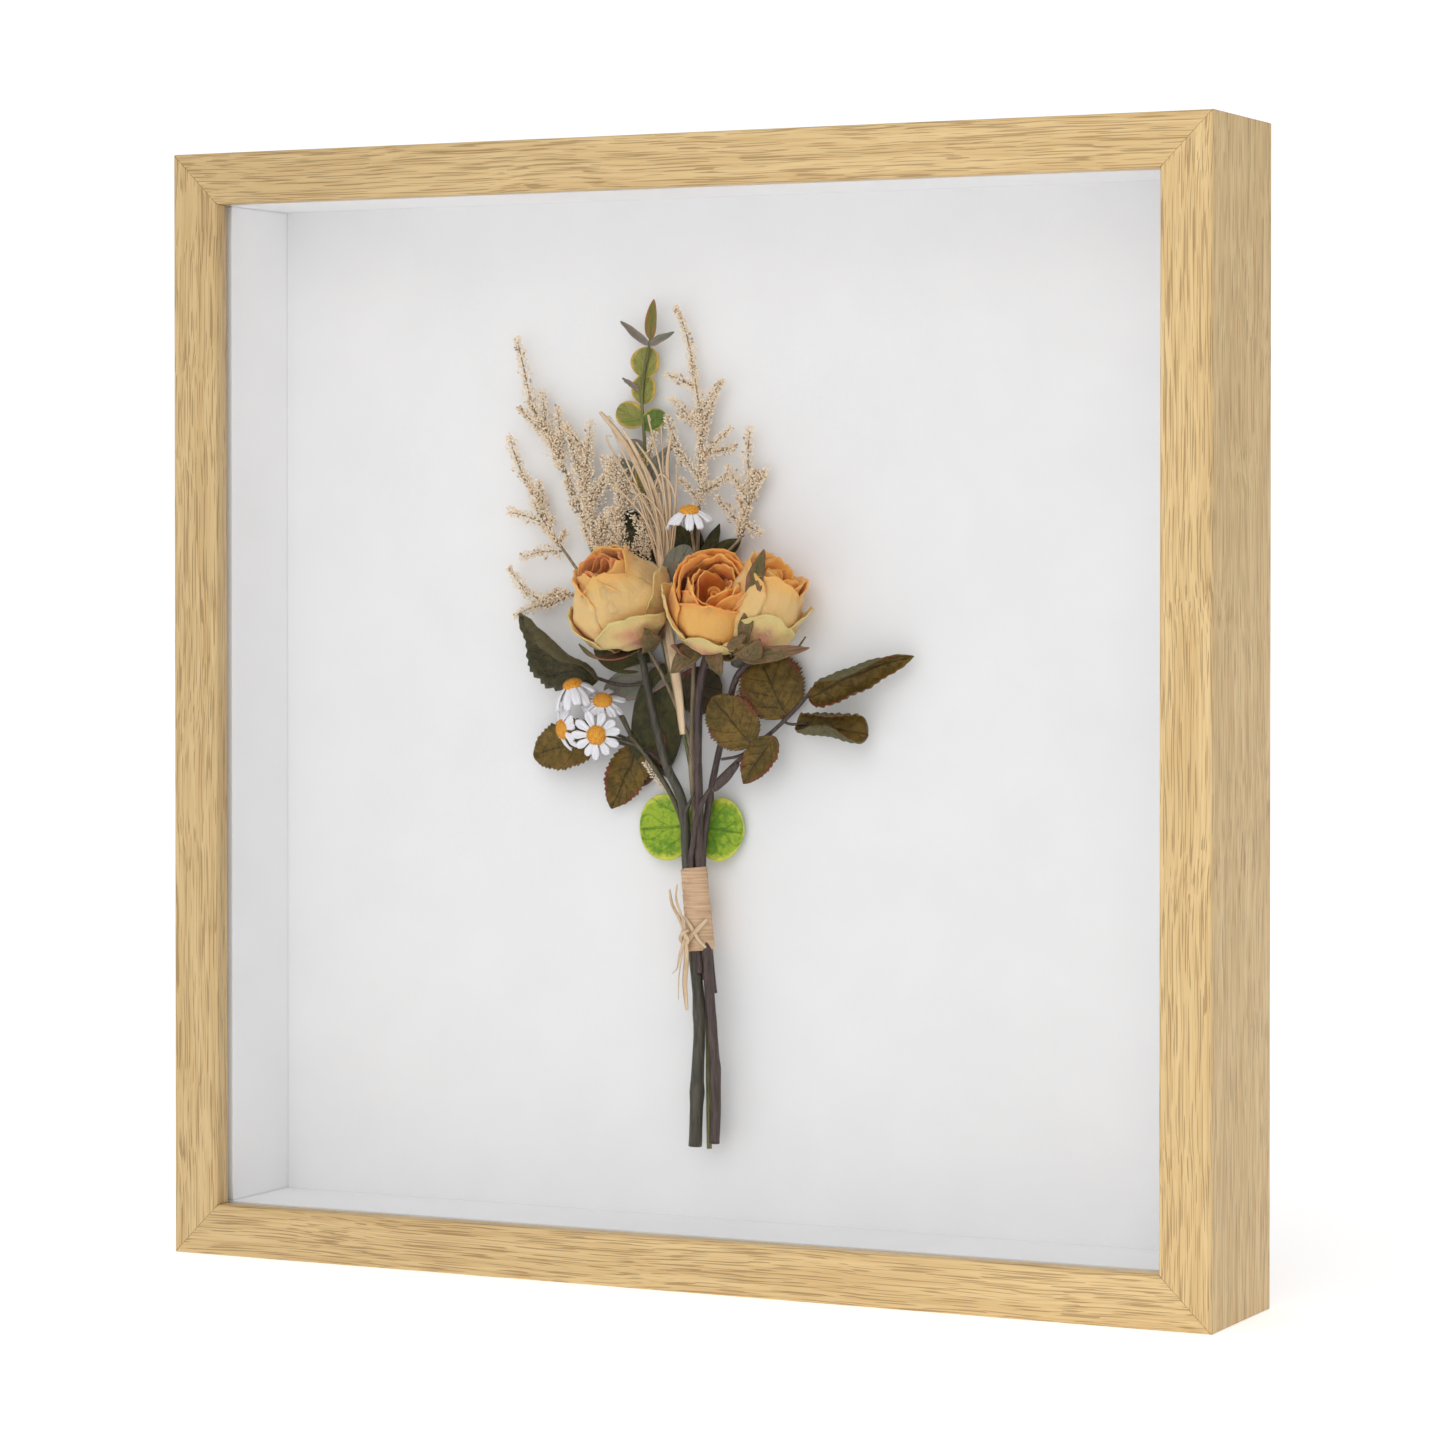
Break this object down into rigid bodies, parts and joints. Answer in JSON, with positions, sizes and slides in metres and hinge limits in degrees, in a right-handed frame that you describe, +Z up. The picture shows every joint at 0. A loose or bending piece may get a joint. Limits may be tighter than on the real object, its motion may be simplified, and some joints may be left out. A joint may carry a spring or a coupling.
{
  "type": "floating frame",
  "caption": "Square oak shadow-box frame with glass, white liners and a tied bouquet of cloth flowers on a white board, turn buttons and D-ring hangers behind.",
  "frame": {"origin": "middle of the underside: centre of the bounding box's bottom face, on the shelf that the frame stands on", "axes": "+Z up, +Y from the glass towards the wall, +X to the right as seen from the front"},
  "size_m": [0.33, 0.0522, 0.33],
  "materials": {
    "oak": "oak-look veneer with a satin lacquer and fine dark pores",
    "glass": "clear picture glass",
    "white_board": "matt white foam board and card",
    "hardboard": "smooth brown hardboard",
    "plated_steel": "zinc-plated steel",
    "brass_plate": "brass-plated pressed steel",
    "rubber": "soft black rubber",
    "rose_petal": "peach and apricot cloth petals",
    "rose_stem": "dark brown moulded stem",
    "dark_leaf": "dark olive cloth leaves with red-brown edges",
    "eucalyptus": "soft green leaves with yellow rims",
    "statice": "flocked beige twigs",
    "daisy": "white cloth petals round an orange centre",
    "raffia": "natural raffia",
    "glue": "set hot-melt glue"
  },
  "bodies": {
    "frame": {"rail_bottom": "oak", "rail_left": "oak", "rail_top": "oak", "rail_right": "oak", "v_nail_bottom_left": "plated_steel", "v_nail_top_left": "plated_steel", "v_nail_top_right": "plated_steel", "v_nail_bottom_right": "plated_steel", "glass_pane": "glass", "liner_bottom": "white_board", "liner_top": "white_board", "liner_left": "white_board", "liner_right": "white_board", "display_board": "white_board", "back_panel": "hardboard", "turn_button_screw_bottom": "plated_steel", "turn_button_screw_left": "plated_steel", "turn_button_screw_top": "plated_steel", "turn_button_screw_right": "plated_steel", "hanger_strap_left": "plated_steel", "hanger_screw_left": "plated_steel", "hanger_strap_right": "plated_steel", "hanger_screw_right": "plated_steel", "bumper_bottom_left": "rubber", "bumper_bottom_right": "rubber", "bumper_top_left": "rubber", "bumper_top_right": "rubber", "rose_left": "rose_petal", "rose_centre": "rose_petal", "rose_right": "rose_petal", "rose_stem_left": "dark_leaf", "rose_stem_centre": "rose_stem", "rose_stem_right": "rose_stem", "leaf_spray_right": "dark_leaf", "eucalyptus_sprig": "eucalyptus", "statice_spray": "statice", "daisy_upper_left": "daisy", "daisy_middle": "daisy", "daisy_lower_left": "daisy", "daisy_lower_right": "daisy", "daisy_top": "daisy", "daisy_stems": "rose_stem", "raffia_wrap": "raffia", "raffia_strands": "raffia", "glue_pad_lower": "glue", "glue_pad_upper": "glue"},
    "button_bottom": {"turn_button_bottom": "brass_plate"},
    "button_left": {"turn_button_left": "brass_plate"},
    "button_top": {"turn_button_top": "brass_plate"},
    "button_right": {"turn_button_right": "brass_plate"},
    "ring_left": {"hanger_ring_left": "plated_steel"},
    "ring_right": {"hanger_ring_right": "plated_steel"}
  },
  "joints": [
    {"name": "button_bottom_turn", "type": "hinge", "parent": "frame", "child": "button_bottom", "pos_m": [0, 0.0228, 0.00535], "axis": [0, 1, 0], "range_deg": [-90, 90]},
    {"name": "button_left_turn", "type": "hinge", "parent": "frame", "child": "button_left", "pos_m": [-0.15965, 0.0228, 0.165], "axis": [0, 1, 0], "range_deg": [-90, 90]},
    {"name": "button_top_turn", "type": "hinge", "parent": "frame", "child": "button_top", "pos_m": [0, 0.0228, 0.32465], "axis": [0, 1, 0], "range_deg": [-90, 90]},
    {"name": "button_right_turn", "type": "hinge", "parent": "frame", "child": "button_right", "pos_m": [0.15965, 0.0228, 0.165], "axis": [0, 1, 0], "range_deg": [-90, 90]},
    {"name": "ring_left_swing", "type": "hinge", "parent": "frame", "child": "ring_left", "pos_m": [-0.15965, 0.024, 0.246], "axis": [1, 0, 0], "range_deg": [0, 180]},
    {"name": "ring_right_swing", "type": "hinge", "parent": "frame", "child": "ring_right", "pos_m": [0.15965, 0.024, 0.246], "axis": [1, 0, 0], "range_deg": [0, 180]}
  ]
}
